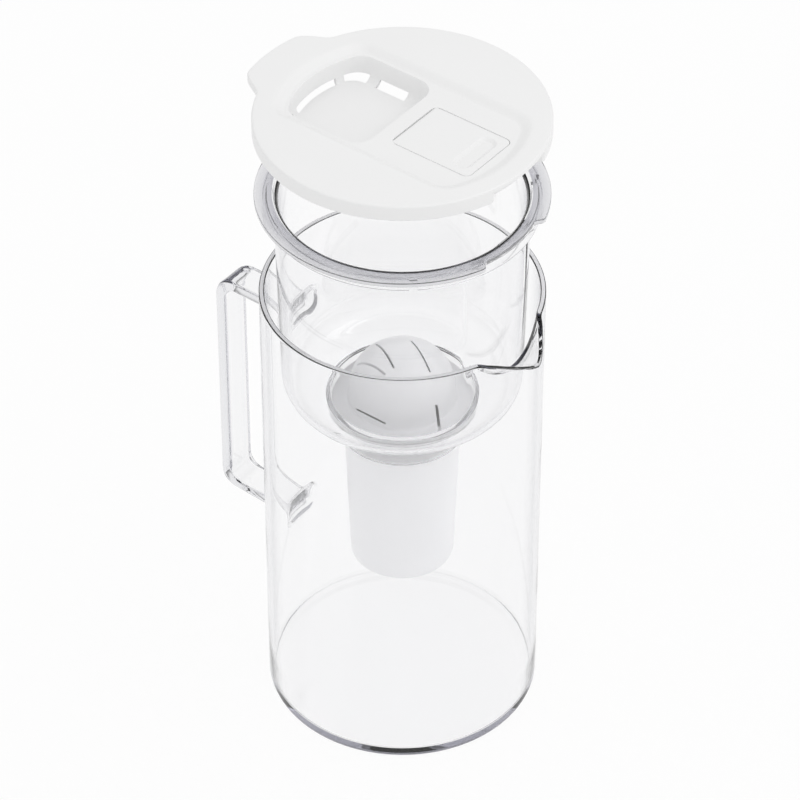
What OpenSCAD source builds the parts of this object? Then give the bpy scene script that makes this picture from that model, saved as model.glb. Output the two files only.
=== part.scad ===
// Water filter pitcher with a flip lid, shown lifted apart one piece above the next
// Millimetres, +Z up, spout along +X, handle along -X, origin under the middle of the jug

/* [Display] */
// Height of the funnel above its seat on the jug's rim
funnel_raise = 53; // [0:1:100]
// Height of the lid above its seat on the funnel
lid_raise = 34; // [0:1:80]

/* [Jug] */
// Height of the jug
jug_h = 235; // [215:1:260]
// Outer radius of the jug
jug_r = 64.5; // [64:0.5:66]
// Thickness of the jug's wall
jug_wall = 2.5; // [2:0.1:2.5]
// Thickness of the jug's floor
jug_floor = 4.5; // [3:0.5:8]
// Reach of the spout's tip from the jug's axis
spout_reach = 76; // [72:0.5:84]
// Half width of the spout where it leaves the rim
spout_half_w = 20; // [14:1:24]
// Drop of the spout's tip below the rim
spout_drop = 7; // [0:0.5:9]
// Depth below the rim at which the spout starts to flare
spout_depth = 14; // [12:1:24]

/* [Handle] */
// Reach of the grip's outer face from the jug's axis
grip_reach = 104.5; // [98:0.5:115]
// Height of the top of the upper arm
arm_top = 196.5; // [180:0.5:205]
// Height of the underside of the lower arm
arm_low = 67; // [50:1:90]
// Width of the strap
strap_w = 16; // [14:1:24]
// Thickness of the strap
strap_t = 6; // [5:0.5:8]
// Flare of the feet where they meet the jug
foot_flare = 7; // [4:0.5:8]

/* [Funnel] */
// Outer radius of the flange
flange_r = 65.5; // [65:0.5:67]
// Thickness of the flange
flange_t = 2.2; // [1.8:0.1:3]
// Outer radius of the funnel's wall under the flange
funnel_r = 57; // [57:0.2:58]
// Outer radius of the funnel's wall above its lower corner
funnel_low_r = 55.2; // [54:0.2:56]
// Thickness of the funnel's wall
funnel_wall = 2.2; // [1.8:0.1:2.2]
// Depth of the funnel from the underside of its flange
funnel_depth = 113.8; // [112:0.2:120]
// Outer radius of the funnel's lower corner
funnel_corner = 18; // [14:1:20]
// Half angle of the notch at the spout
notch_angle = 18; // [12:1:20]
// Distance from the axis to the flat that leads water to the spout
flat_x = 52; // [50:0.5:54]
// Height of that flat below the flange
flat_h = 35; // [20:1:50]

/* [Filter] */
// Outer radius of the cartridge's flange
cartridge_flange_r = 32.6; // [32:0.1:32.8]
// Outer radius of the cartridge's body under its flange
cartridge_top_r = 26.9; // [26:0.1:27]
// Outer radius of the cartridge's body at its foot
cartridge_low_r = 24.3; // [23:0.1:25]
// Height of the cartridge's body with its flange
cartridge_h = 92.5; // [80:0.5:96]
// Outer radius of the cartridge's dome
dome_r = 24.7; // [23:0.1:25]
// Width of the dome's slits
slit_w = 0.8; // [0.6:0.1:1.2]

/* [Lid] */
// Radius of the lid
lid_r = 65.5; // [65:0.5:67]
// Height of the lid
lid_h = 7.5; // [7:0.1:9]
// Reach of the tab from the lid's middle
tab_reach = 75; // [72:0.5:80]
// Half width of the tab
tab_half_w = 19; // [15:0.5:22]
// Radius of the round ends of the shallow recess
recess_r = 57; // [56:0.5:58]
// Half width of the shallow recess
recess_half_w = 33; // [32:0.5:34]
// Depth of the shallow recess
recess_depth = 2.5; // [2:0.1:3]
// Depth of the basin below the shallow recess
basin_depth = 10.4; // [8:0.2:12]

/* [Flap] */
// Length of the flap from its hinged edge to its free edge
flap_l = 41.6; // [36:0.2:43]
// Width of the flap
flap_w = 32; // [28:1:33]
// Thickness of the flap
flap_t = 2.4; // [2.2:0.1:2.6]
// Radius of the hinge pin
pin_r = 0.8; // [0.6:0.1:1]

/* [Hidden] */

$fn = 96;
hull_fn = 32;
arc_steps = 8;
slack = 0.2;
through = 1;

jug_in = jug_r - jug_wall;
rim_round = jug_wall / 2;
base_round = 3.5;
floor_round = 2;

spout_tip_r = 6;
spout_root = jug_in - 3;
root_round = 3;
keel_r = 6;
spout_lip = 2.3;
spout_top = 4;

corner_high = 12;
corner_low = 10;
strap_round = 1.5;
pad_half_w = 15;
foot_tuck = 0.5;

mouth_round = 3.7;
mouth_r = funnel_r - funnel_wall + mouth_round;
skirt_r = jug_in - 0.4;
skirt_t = 1.4;
skirt_h = 5;
skirt_slot_w = 3.5;
skirt_slot_angle = 50;
cup_r = 34.6;
cup_wall = 1.6;
cup_depth = 7.8;
cup_round = 5;
ledge_t = 2.2;
throat_r = 29.4;
throat_wall = 1.8;
throat_h = 11;

seal_t = 2;
cartridge_flange_t = 3;
cartridge_wall = 1.6;
cartridge_lip = 2.5;
foot_round = 2;
dome_wall = 1.5;
dome_rise = 3;
slot_bite = 4;
slant = 8;
slant_l = 20;
slant_rise = 0;
foot_slot_low = 1.5;
foot_slot_h = 9;
// Turn, distance from the axis and both ends of each slit across the dome's cap
cap_slits = [[-118, 8, -8, 8.5], [66, 6.2, -15, 2.6], [-100, 14.6, -14.8, 4.3], [128, 18, -9, 9]];
foot_slits = [-97, 83];
foot_slots = [-10, 170];
screen_t = 1;
grid_t = 2;
bed_gap = 0.1;

lid_plate = 2;
lid_skirt_t = 2;
lid_edge = 1;
plug_r = 54;
plug_wall = 1.5;
plug_h = 4;
plug_gap = 0.5;
tab_t = 3.5;
tab_corner = 4;
tab_root = 8;
inset_r = 61.5;
recess_slope = 6;
recess_corner = 6;
basin_wall = 2;
basin_top_r = 51;
basin_top_w = 28;
basin_floor_w = 22.5;
basin_front = -2;
basin_floor_front = -8;
basin_corner = 9;
slot_w = 3.4;
slot_rise = 2.5;
slot_r = basin_top_r - 0.5;
end_slot_half_w = 14;
side_slot_x = -31.5;
side_slot_l = 16;
corner_slot_x = -39.5;
corner_slot_far = -50;
corner_slot_near = -36;
corner_slot_w = 15;

flap_gap = 0.3;
flap_corner = 3;
flap_back = 5.8;
flap_front = flap_back + flap_l;
barrel_r = 1.8;
hinge_x = flap_back + barrel_r;
ledge_w = 4;
chute_wall = 1.8;
chute_h = 6.5;
chute_back = hinge_x + barrel_r + 1.2;
chute_front = flap_front - ledge_w;
chute_half_w = flap_w / 2 - ledge_w;
frame_w = 3;
frame_t = 1.5;
pin_seat = 3;
running_gap = 0.05;
finger_l = 24;
finger_w = 8;
finger_corner = 3.5;
finger_depth = 1.3;
finger_x = flap_front - 8;

funnel_z = jug_h + funnel_raise;
lid_z = funnel_z + flange_t + lid_raise;
cup_floor = -funnel_depth - cup_depth;
cartridge_top = cup_floor + slack + seal_t + cartridge_flange_t;
cartridge_foot = cartridge_top - cartridge_h;
recess_z = lid_h - recess_depth;
hinge_z = recess_z - barrel_r;
basin_z = recess_z - basin_depth;

function arc(c, r, a0, a1, n = arc_steps) =
    [for (i = [0:n]) let (a = a0 + (a1 - a0) * i / n) [c[0] + r * cos(a), c[1] + r * sin(a)]];

// Inner radius of the cartridge's body at a height above its foot
function bore_r(h) =
    cartridge_low_r - cartridge_wall
    + (cartridge_top_r - cartridge_low_r) * (h - cartridge_lip) / (cartridge_h - cartridge_lip);

module turned(points) rotate_extrude() polygon(points);

// A flat sector between two radii, centred on +X
module sector(r0, r1, half_angle) {
    polygon(concat(arc([0, 0], r0, -half_angle, half_angle), arc([0, 0], r1, half_angle, -half_angle)));
}

// A rectangle with two lengths along X and rounded corners
module round_rect(x0, x1, half_w, r) {
    union() {
        translate([x0 + r, -half_w]) square([x1 - x0 - 2 * r, 2 * half_w]);
        translate([x0, r - half_w]) square([x1 - x0, 2 * (half_w - r)]);
        for (x = [x0 + r, x1 - r], y = [r - half_w, half_w - r]) translate([x, y]) circle(r);
    }
}

// Jug

module jug_wall_turned() {
    turned(concat(
        [[0, 0]],
        arc([jug_r - base_round, base_round], base_round, -90, 0),
        arc([jug_r - rim_round, jug_h - rim_round], rim_round, 0, 180),
        arc([jug_in - floor_round, jug_floor + floor_round], floor_round, 0, -90),
        [[0, jug_floor]]
    ));
}

// The spout's solid form, made smaller by a skin for its channel
module beak(skin, top) {
    half = spout_half_w - skin;
    tip_x = spout_reach - spout_tip_r;
    hull() {
        for (side = [-1, 1])
            translate([spout_root, side * (half - root_round), jug_h - root_round])
                cylinder(r = root_round, h = root_round + top, $fn = hull_fn);
        translate([spout_root - root_round, 0, jug_h - spout_depth + keel_r + skin])
            rotate([0, 90, 0]) cylinder(r = keel_r, h = root_round, $fn = hull_fn);
        translate([tip_x, 0, jug_h - spout_drop - spout_top + skin])
            cylinder(r = spout_tip_r - skin, h = spout_top - skin + top, $fn = hull_fn);
    }
}

module jug_body() {
    color("#e9eff2", 0.35)
    difference() {
        union() {
            jug_wall_turned();
            difference() {
                beak(0, 0);
                cylinder(r = jug_in + rim_round, h = 2 * jug_h);
            }
        }
        beak(spout_lip, spout_top);
    }
}

// Cross-section of the strap, with its thickness along X
module strap_section() round_rect(-strap_t / 2, strap_t / 2, strap_w / 2, strap_round);

// A level arm of the strap, from a distance on the handle's side into the jug's wall
module strap_arm(from, z)
    translate([from, 0, z]) rotate([0, 90, 0]) linear_extrude(-jug_in - from) strap_section();

// A quarter bend of the strap, seen from the side, with an outer radius
module strap_bend(outer, z, start)
    translate([outer - grip_reach, 0, z]) rotate([90, 0, 0]) rotate([0, 0, start])
        rotate_extrude(angle = 90) translate([outer - strap_t / 2, 0]) strap_section();

// One foot that widens on all sides into a pad on the jug
module foot(z, flare, half_w) {
    cut_w = strap_w / 2 + flare - foot_tuck;
    half_t = strap_t / 2 + flare - foot_tuck;
    start = jug_r + flare - 1;
    translate([0, 0, z])
    difference() {
        translate([-start, 0, 0]) rotate([0, 90, 0])
            linear_extrude(flare + 4) round_rect(-half_t, half_t, half_w, flare);
        for (side = [-1, 1]) {
            translate([-start, -half_w - through, side * half_t])
                rotate([-90, 0, 0]) cylinder(r = flare, h = 2 * (half_w + through));
            translate([-start, side * cut_w, -half_t - through])
                cylinder(r = flare, h = 2 * (half_t + through));
        }
    }
}

module handle() {
    high_z = arm_top - strap_t / 2;
    low_z = arm_low + strap_t / 2;
    bend_top = arm_top - corner_high;
    bend_low = arm_low + corner_low;
    color("#e4eaee", 0.45)
    difference() {
        union() {
            strap_arm(corner_high - grip_reach, high_z);
            strap_bend(corner_high, bend_top, 90);
            translate([strap_t / 2 - grip_reach, 0, bend_low])
                linear_extrude(bend_top - bend_low) strap_section();
            strap_bend(corner_low, bend_low, 180);
            strap_arm(corner_low - grip_reach, low_z);
            foot(high_z, foot_flare, pad_half_w);
            foot(low_z, foot_flare - 1, pad_half_w - 2);
        }
        cylinder(r = jug_r, h = jug_h);
    }
}

// Funnel, drawn with zero at the underside of its flange

module funnel_turned() {
    in_top = funnel_r - funnel_wall;
    in_low = funnel_low_r - funnel_wall;
    corner_x = funnel_low_r - funnel_corner;
    corner_z = funnel_corner - funnel_depth;
    in_corner = funnel_corner - funnel_wall;
    turned(concat(
        arc([mouth_r, flange_t - mouth_round], mouth_round, 180, 90),
        [
            [flange_r - 0.6, flange_t], [flange_r, flange_t - 0.6], [flange_r, 0],
            [skirt_r, 0], [skirt_r, -skirt_h], [skirt_r - skirt_t, -skirt_h], [skirt_r - skirt_t, 0],
            [funnel_r, 0]
        ],
        arc([corner_x, corner_z], funnel_corner, 0, -90),
        [[cup_r, -funnel_depth]],
        arc([cup_r - cup_round, cup_floor - ledge_t + cup_round], cup_round, 0, -90),
        [
            [throat_r, cup_floor - ledge_t], [throat_r, cup_floor - throat_h],
            [throat_r - throat_wall, cup_floor - throat_h], [throat_r - throat_wall, cup_floor],
            [cup_r - cup_wall, cup_floor], [cup_r - cup_wall, funnel_wall - funnel_depth]
        ],
        arc([corner_x, corner_z], in_corner, -90, 0),
        [[in_top, flange_t - mouth_round]]
    ));
}

// A slice of the funnel's round wall beyond a flat at a distance from the axis
module flat_slice(x, low) {
    translate([0, 0, low]) linear_extrude(-low)
        intersection() {
            circle(funnel_r);
            translate([x, -funnel_r]) square([funnel_r, 2 * funnel_r]);
        }
}

module funnel_shell() {
    color("#edf2f4", 0.35)
    translate([0, 0, funnel_z])
    difference() {
        union() {
            funnel_turned();
            flat_slice(flat_x - funnel_wall, -flat_h - funnel_wall);
        }
        flat_slice(flat_x, -flat_h);
        // Notch that lets the water past the flange to the spout
        translate([0, 0, -slack])
            linear_extrude(flange_t + through) sector(skirt_r + slack, flange_r + through, notch_angle);
        for (side = [-1, 1])
            rotate([0, 0, side * skirt_slot_angle])
            translate([skirt_r - skirt_t - slack, -skirt_slot_w / 2, -skirt_h - through])
                cube([skirt_t + 2 * slack, skirt_slot_w, skirt_h + through - slack]);
    }
}

// Filter cartridge, drawn with zero at the underside of the funnel's flange

module filter_housing() {
    bore_top = cartridge_top_r - cartridge_wall;
    bore_low = cartridge_low_r - cartridge_wall;
    flange_low = cartridge_top - cartridge_flange_t;
    color("#e6e7e9")
    translate([0, 0, funnel_z])
    turned(concat(
        [[bore_low - cartridge_lip, cartridge_foot]],
        arc([cartridge_low_r - foot_round, cartridge_foot + foot_round], foot_round, -90, 0, 4),
        [
            [cartridge_top_r, flange_low], [cartridge_flange_r, flange_low],
            [cartridge_flange_r, cartridge_top], [bore_top, cartridge_top],
            [bore_low, cartridge_foot + cartridge_lip],
            [bore_low - cartridge_lip, cartridge_foot + cartridge_lip]
        ]
    ));
}

module filter_seal() {
    seal_z = cartridge_top - cartridge_flange_t - seal_t;
    color("#cfd2d4")
    translate([0, 0, funnel_z])
    turned([
        [cartridge_top_r, seal_z], [cartridge_flange_r - 0.6, seal_z],
        [cartridge_flange_r, seal_z + seal_t / 2], [cartridge_flange_r - 0.6, seal_z + seal_t],
        [cartridge_top_r, seal_z + seal_t]
    ]);
}

// The dome's wall as a turned form: a wide foot, a short cone and a round cap
module dome_turned() {
    turned(concat(
        [
            [cartridge_top_r - cartridge_wall, 0], [cartridge_flange_r, 0],
            [cartridge_flange_r, 0.8], [dome_r, 2]
        ],
        arc([0, dome_rise], dome_r, 0, 90, 16),
        arc([0, dome_rise], dome_r - dome_wall, 90, 0, 16)
    ));
}

// An upright slit through the dome's cap: the turn of its plane, its distance from the axis and its ends
module cap_slit(turn, away, from, to)
    rotate([0, 0, turn]) translate([away - slit_w / 2, from, 2 * dome_rise])
        cube([slit_w, to - from, dome_r]);

module filter_dome() {
    color("#f0f0f1")
    translate([0, 0, funnel_z + cartridge_top])
    difference() {
        dome_turned();
        for (slit = cap_slits) cap_slit(slit[0], slit[1], slit[2], slit[3]);
        // Slanting slits and upright slots round the dome's foot
        for (turn = foot_slits)
            rotate([0, 0, turn])
            translate([dome_r - slot_bite, 0, dome_rise + slant_rise])
            rotate([slant, 0, 0]) translate([0, -slant_l / 2, -slit_w / 2])
                cube([2 * slot_bite, slant_l, slit_w]);
        for (turn = foot_slots)
            rotate([0, 0, turn])
            translate([dome_r - slot_bite, -slit_w / 2, foot_slot_low])
                cube([2 * slot_bite, slit_w, foot_slot_h]);
    }
}

// A disc across the cartridge's bore, at a height above its foot
module bore_disc(h, t) {
    translate([0, 0, funnel_z + cartridge_foot + h])
        cylinder(r1 = bore_r(h) - bed_gap, r2 = bore_r(h + t) - bed_gap, h = t);
}

grid_h = cartridge_lip;
lower_screen_h = grid_h + grid_t;
resin_h = lower_screen_h + screen_t;
middle_screen_h = cartridge_h * 0.5;
carbon_h = middle_screen_h + screen_t;
upper_screen_h = cartridge_h - cartridge_flange_t;

module upper_screen() color("#d9dadb") bore_disc(upper_screen_h, screen_t);
module carbon_bed() color("#2b2b2d") bore_disc(carbon_h, upper_screen_h - carbon_h);
module middle_screen() color("#d9dadb") bore_disc(middle_screen_h, screen_t);
module resin_bed() color("#c9a35f") bore_disc(resin_h, middle_screen_h - resin_h);
module lower_screen() color("#d9dadb") bore_disc(lower_screen_h, screen_t);

module outlet_grid() {
    color("#e6e7e9")
    difference() {
        bore_disc(grid_h, grid_t);
        for (ring = [1:3], i = [0:6 * ring - 1])
            rotate([0, 0, i * 60 / ring])
            translate([ring * 5.4, 0, funnel_z + cartridge_foot])
                cylinder(r = 1.3, h = grid_h + grid_t + through);
    }
}

// Lid, drawn with zero at the foot of its skirt

module tab_outline() {
    root_y = tab_half_w + tab_root;
    root_x = -sqrt(pow(lid_r + tab_root, 2) - pow(root_y, 2));
    meet = lid_r / (lid_r + tab_root);
    round_rect(-tab_reach, -lid_r / 2, tab_half_w, tab_corner);
    for (side = [-1, 1])
        difference() {
            polygon([
                [root_x, side * (tab_half_w - through)], [-lid_r + tab_root, side * (tab_half_w - through)],
                [root_x * meet + through, side * (root_y * meet - through)], [root_x, side * root_y]
            ]);
            translate([root_x, side * root_y]) circle(tab_root);
        }
}

// The shallow recess: round ends, straight sides and a sloping border
module recess() {
    low_r = recess_r - recess_slope;
    low_w = recess_half_w - recess_slope;
    rise = recess_depth + 1;
    grow = recess_slope * rise / recess_depth;
    translate([0, 0, recess_z])
        linear_extrude(rise, scale = [(low_r + grow) / low_r, (low_w + grow) / low_w], slices = 1)
        offset(recess_corner) offset(delta = -recess_corner)
        intersection() {
            circle(low_r);
            square([2 * low_r, 2 * low_w], center = true);
        }
}

// A slot's width of ring inside a radius
module ring(r)
    difference() {
        circle(r);
        circle(r - slot_w);
    }

// The basin's form between its top outline and its floor, grown by a skin
module basin(skin, low) {
    corner = basin_corner + skin;
    intersection() {
        translate([0, 0, basin_z - low]) cylinder(r = basin_top_r + skin, h = basin_depth + low);
        hull() {
            for (side = [-1, 1]) {
                for (x = [-basin_top_r, basin_front - basin_corner])
                    translate([x, side * (basin_top_w - basin_corner), recess_z - 1])
                        cylinder(r = corner, h = 1, $fn = hull_fn);
                for (x = [-basin_top_r, basin_floor_front - basin_corner])
                    translate([x, side * (basin_floor_w - basin_corner), basin_z - low])
                        cylinder(r = corner, h = 1, $fn = hull_fn);
            }
        }
    }
}

// Slots along the edge of the basin's floor that let the water through
module basin_slots() {
    side_w = basin_floor_w - slot_w;
    corner_w = basin_floor_w - basin_corner;
    translate([0, 0, basin_z - basin_wall - through]) linear_extrude(basin_wall + through + slot_rise) {
        intersection() {
            ring(slot_r);
            translate([-basin_top_r, -end_slot_half_w]) square([basin_top_r / 2, 2 * end_slot_half_w]);
        }
        for (side = [-1, 1]) {
            translate([side_slot_x, side * (side_w + slot_w / 2) - slot_w / 2]) square([side_slot_l, slot_w]);
            intersection() {
                translate([corner_slot_x, side * corner_w]) ring(basin_corner);
                translate([corner_slot_far, side * (corner_slot_w + basin_corner) - basin_corner])
                    square([corner_slot_near - corner_slot_far, 2 * basin_corner]);
            }
        }
    }
}

module lid_top() {
    difference() {
        union() {
            turned(concat(
                [[0, lid_h - lid_plate], [lid_r, lid_h - lid_plate]],
                arc([lid_r - lid_edge, lid_h - lid_edge], lid_edge, 0, 90, 4),
                [[0, lid_h]]
            ));
            translate([0, 0, recess_z - lid_plate]) cylinder(r = recess_r + 2, h = lid_plate + through);
            translate([0, 0, lid_h - tab_t]) linear_extrude(tab_t) tab_outline();
        }
        recess();
    }
}

module lid_skirt() {
    difference() {
        cylinder(r = lid_r, h = lid_h - lid_plate);
        translate([0, 0, -through]) cylinder(r = lid_r - lid_skirt_t, h = lid_h + 2 * through);
        translate([0, 0, -through]) linear_extrude(lid_h) sector(inset_r, lid_r + through, notch_angle);
    }
    linear_extrude(lid_h - lid_plate) sector(inset_r - lid_skirt_t, inset_r, notch_angle + 1);
    translate([0, 0, -plug_h]) difference() {
        cylinder(r = plug_r, h = plug_h + lid_h - lid_plate);
        translate([0, 0, -through]) cylinder(r = plug_r - plug_wall, h = plug_h + lid_h);
        // Room for the flat at the spout side of the funnel
        translate([flat_x - funnel_wall - plug_gap, -plug_r, -through])
            cube([plug_r, 2 * plug_r, plug_h + lid_h]);
    }
}

// The frame round the flap's opening, with a collar that guides the water down
module flap_frame() {
    frame_low = hinge_z - barrel_r - frame_t;
    translate([0, 0, frame_low]) linear_extrude(recess_z - frame_low)
        round_rect(flap_back - frame_w, flap_front + frame_w, flap_w / 2 + pin_seat + slack, frame_w);
    translate([0, 0, hinge_z - chute_h]) linear_extrude(chute_h)
        round_rect(chute_back - chute_wall, chute_front + chute_wall, chute_half_w + chute_wall, 4);
}

module flap_space() {
    half = flap_w / 2 + flap_gap;
    translate([0, 0, recess_z - flap_t - slack]) linear_extrude(lid_h)
        round_rect(flap_back - flap_gap, flap_front + flap_gap, half, flap_corner);
    translate([flap_back - flap_gap, -half, hinge_z - barrel_r - flap_gap])
        cube([2 * (barrel_r + flap_gap), 2 * half, lid_h]);
    translate([0, 0, hinge_z - chute_h - through]) linear_extrude(chute_h + lid_h)
        round_rect(chute_back, chute_front, chute_half_w, flap_corner);
}

module lid_shell() {
    color("#f4f4f5")
    translate([0, 0, lid_z])
    difference() {
        union() {
            lid_top();
            lid_skirt();
            basin(basin_wall, basin_wall);
            flap_frame();
        }
        basin(0, 0);
        basin_slots();
        flap_space();
        translate([hinge_x, -flap_w / 2 - pin_seat, hinge_z])
            rotate([-90, 0, 0]) cylinder(r = pin_r, h = flap_w + 2 * pin_seat);
    }
}

module flap_hinge_pin() {
    color("#c8ccd0")
    translate([hinge_x, -flap_w / 2 - pin_seat, lid_z + hinge_z])
        rotate([-90, 0, 0]) cylinder(r = pin_r, h = flap_w + 2 * pin_seat);
}

module flap_panel() {
    color("#f6f6f7")
    translate([0, 0, lid_z])
    difference() {
        union() {
            translate([0, 0, recess_z - flap_t]) linear_extrude(flap_t)
                intersection() {
                    round_rect(flap_back, flap_front, flap_w / 2, flap_corner);
                    translate([hinge_x, -flap_w]) square([flap_l, 2 * flap_w]);
                }
            translate([hinge_x, -flap_w / 2, hinge_z]) rotate([-90, 0, 0]) cylinder(r = barrel_r, h = flap_w);
        }
        translate([hinge_x, -flap_w / 2 - through, hinge_z])
            rotate([-90, 0, 0]) cylinder(r = pin_r + running_gap, h = flap_w + 2 * through);
        translate([0, 0, recess_z - finger_depth]) linear_extrude(finger_depth + through)
            round_rect(finger_x - finger_w / 2, finger_x + finger_w / 2, finger_l / 2, finger_corner);
    }
}

jug_body();
handle();
funnel_shell();
filter_housing();
filter_seal();
filter_dome();
upper_screen();
carbon_bed();
middle_screen();
resin_bed();
lower_screen();
outlet_grid();
lid_shell();
flap_hinge_pin();
flap_panel();
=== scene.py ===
import math

import bmesh
import bpy
from mathutils import Matrix, Vector


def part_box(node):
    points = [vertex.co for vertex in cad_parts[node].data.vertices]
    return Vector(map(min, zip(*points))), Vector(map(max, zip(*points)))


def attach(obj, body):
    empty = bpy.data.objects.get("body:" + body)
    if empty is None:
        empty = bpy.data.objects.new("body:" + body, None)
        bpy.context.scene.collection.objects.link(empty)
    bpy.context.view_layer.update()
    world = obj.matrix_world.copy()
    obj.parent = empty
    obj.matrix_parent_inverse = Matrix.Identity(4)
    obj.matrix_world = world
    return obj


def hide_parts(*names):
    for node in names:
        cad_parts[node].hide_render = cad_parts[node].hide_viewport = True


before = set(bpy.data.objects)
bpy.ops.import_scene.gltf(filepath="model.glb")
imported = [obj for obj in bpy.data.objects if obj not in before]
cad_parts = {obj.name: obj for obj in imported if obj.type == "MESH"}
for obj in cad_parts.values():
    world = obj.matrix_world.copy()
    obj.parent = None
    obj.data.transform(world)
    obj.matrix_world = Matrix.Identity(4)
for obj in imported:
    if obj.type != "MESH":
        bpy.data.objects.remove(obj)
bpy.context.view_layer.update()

# Pieces are drawn in millimetres and turned to metres when they are finished
MM = 0.001
WHOLE_TURN = 2 * math.pi


def low_mm(node):
    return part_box(node)[0] / MM


def high_mm(node):
    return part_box(node)[1] / MM


# The photograph's camera, in the frame of the jug: metres, degrees and pixels of an 800 pixel frame
FRAME_PX = 800
CAMERA_PLACE = (0.8669, -1.1225, 1.3882)
CAMERA_AZIMUTH = 37.68
CAMERA_PITCH = 40.697
FOCAL_PX = 4074.8
CENTRE_X_PX = 402.35
SENSOR = 36
VIEW_END = 20

# Floor and light: metres, watts, and strengths at which 1 is white
FLOOR_HALF = 3
FLOOR_SINK = 0.0003
FLOOR_GLOW = 0.92
HORIZON = 0.25
WALLS = 0.95
CEILING = 0.8
FILL = 0.6
LAMP_SIZE = 1.2
LAMP_POWER = 4.5
LAMP_PLACE = (0.9, 0.4, 1.7)
LAMP_AIM = (0, 0, 0.2)
BOUNCES = 32
GLOSSY_BOUNCES = 16

# Jug
JUG_R = high_mm("jug_body").y
JUG_H = round(high_mm("jug_body").z)
WALL = 2.5
RIM_ROUND = 0.6
JUG_FLOOR = 4.5
FLOOR_BEND = 2
FOOT_ROUND = 3.5
SPOUT_REACH = high_mm("jug_body").x - 0.01
SPOUT_DROP = 7
SPOUT_HALF_ANGLE = 21
# Where the spout and its crease run out, as shares of that angle
SPOUT_END = 1.15
CREASE_END = 1.6
CREASE_RISE = 0.82
TIP_ROUND = 0.11
CREASE_DEPTH = 13
FLARE_DEPTH = 28

# Handle
GRIP_X = low_mm("handle").x
STRAP_T = 6
STRAP_HALF_W = 8
STRAP_ROUND = 1.5
ARM_TOP = 196.4
ARM_LOW = 67.7
ARM_LOW_T = 4.7
ARM_LOW_SWELL = 1.4
HIGH_BEND = 12
LOW_BEND = 8
LOW_INNER_BEND = 7
FOOT_DEPTH = 8
# How far each foot flares inwards, outwards and aside on the jug's wall, and its pad's corner
HIGH_PAD = (-8.4, 5.6, 8, 8)
LOW_PAD = (6.4, -6.3, 5, 7)
# The pocket in a pad's face: distance in from the pad's edge, and depth
POCKET = ((4, 1.6), (3, 1.5), (2.4, 1.1), (2, 0.15), (1.7, 0), (0.6, 0))
SEAM = 0.05

# Funnel
FLANGE_T = 2.2
FUNNEL_Z = high_mm("funnel_shell").z - FLANGE_T
FLANGE_R = high_mm("funnel_shell").y
NOTCH_R = 61.6
NOTCH_HALF_ANGLE = 18
FLAT_X = 52
FLAT_FULL = -22
FLAT_LOW = -80
FUNNEL_WALL = 2.2
FUNNEL_DEPTH = 113.8
FUNNEL_EDGE = 0.4
MOUTH_R = 58.5
MOUTH_ROUND = 3.7
# The wall outside: radius under the flange, at a knee below it, and where it bends to the cup
WALL_TOP_R = 57
WALL_KNEE_R = 56.4
WALL_LOW_R = 55.2
WALL_INNER_TOP_R = 54.8
KNEE_DEPTH = 40
BOWL_BEND = 18
# Cup and throat
CUP_R = 34.6
CUP_IN = 33
CUP_DEPTH = 10
CUP_FLOOR = 7.8
CUP_ROUND = 5
THROAT_R = 29.4
THROAT_IN = 27.6
THROAT_DEPTH = 19
SKIRT_R = 61.6
SKIRT_IN = 60.2
SKIRT_DROP = 4.6
SKIRT_SLOT_ANGLES = (-48, 48)
SKIRT_SLOT_W = 3.5
# The flange's frosted band with painted grey shade: its inner and outer radius
FROST_SHADE_IN = 57.5
FROST_SHADE_OUT = 69

# Filter
CARTRIDGE_TOP = high_mm("filter_housing").z
CARTRIDGE_FOOT = low_mm("filter_housing").z
CARTRIDGE_FLANGE_R = high_mm("filter_housing").x
CARTRIDGE_FLANGE_T = 3
CARTRIDGE_TOP_R = 27.4
CARTRIDGE_LOW_R = 24.3
CARTRIDGE_WALL = 1.6
DOME_R = 24.7
DOME_RISE = 4.4
DOME_WALL = 1.5
SLIT_W = 0.95
# Upright slits in the dome's cap: turn of the cut, distance from the axis, and both ends along the cut
CAP_SLITS = ((-118.3, 8.05, -12, 8.6), (65.7, 6.2, -15, 3.4), (-99.6, 14.6, -14.8, 4.3), (128, 18, -9, 9))
# Cuts at the dome's foot: the middle (outwards, aside, above the flange), slant, both ends and width
FOOT_CUTS = (((19.1, -15.6, 6), -26.6, (-6, 9), 0.75), ((18.6, 16.2, 1.7), -83, (-7.6, 6.6), 1.3))
FOOT_CUT_TURNS = (-52.3, 127.7)
FOOT_CUT_DIP = 40.7

# Lid
LID_H = 7.5
LID_Z = high_mm("lid_shell").z - LID_H
LID_R = high_mm("lid_shell").y
LID_SHEET = 1.5
LID_EDGE = 1
TAB_REACH = -low_mm("lid_shell").x
TAB_T = 3.5
PLATE_T = 2
# Angles off the handle between which the edge draws out into the tab and grows thicker
TAB_ANGLES = (24.5, 12)
THICK_ANGLES = (27, 25)
PLUG_R = 54
PLUG_IN = 52.5
PLUG_DEPTH = 4
PLUG_GAP = 0.5
INSET_R = 61.5
INSET_HALF_ANGLE = 15
RECESS_DEPTH = 2.5
# The recess at its floor and its growth up the slope: end radius, half width, handle and spout corners
RECESS_FOOT = (51.7, 28.5, 4.5, 8)
RECESS_SLOPE = (5.3, 4.5, 5.5, 6)
BASIN_DEPTH = 10.4
# The basin at its top, and how far its wall closes it: end radius, half width and front
BASIN_TOP = (50.5, 27.3, -2)
BASIN_DRAFT = (1.2, 5, 1.5)
BASIN_CORNER = 9
SLOT_RISE = 2.5
# Ends of the basin's slots: bearings from the handle, then places along the lid
SLOT_BEARINGS = (16, 21)
SLOT_ENDS = (-37.5, -32, -16)

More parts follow.
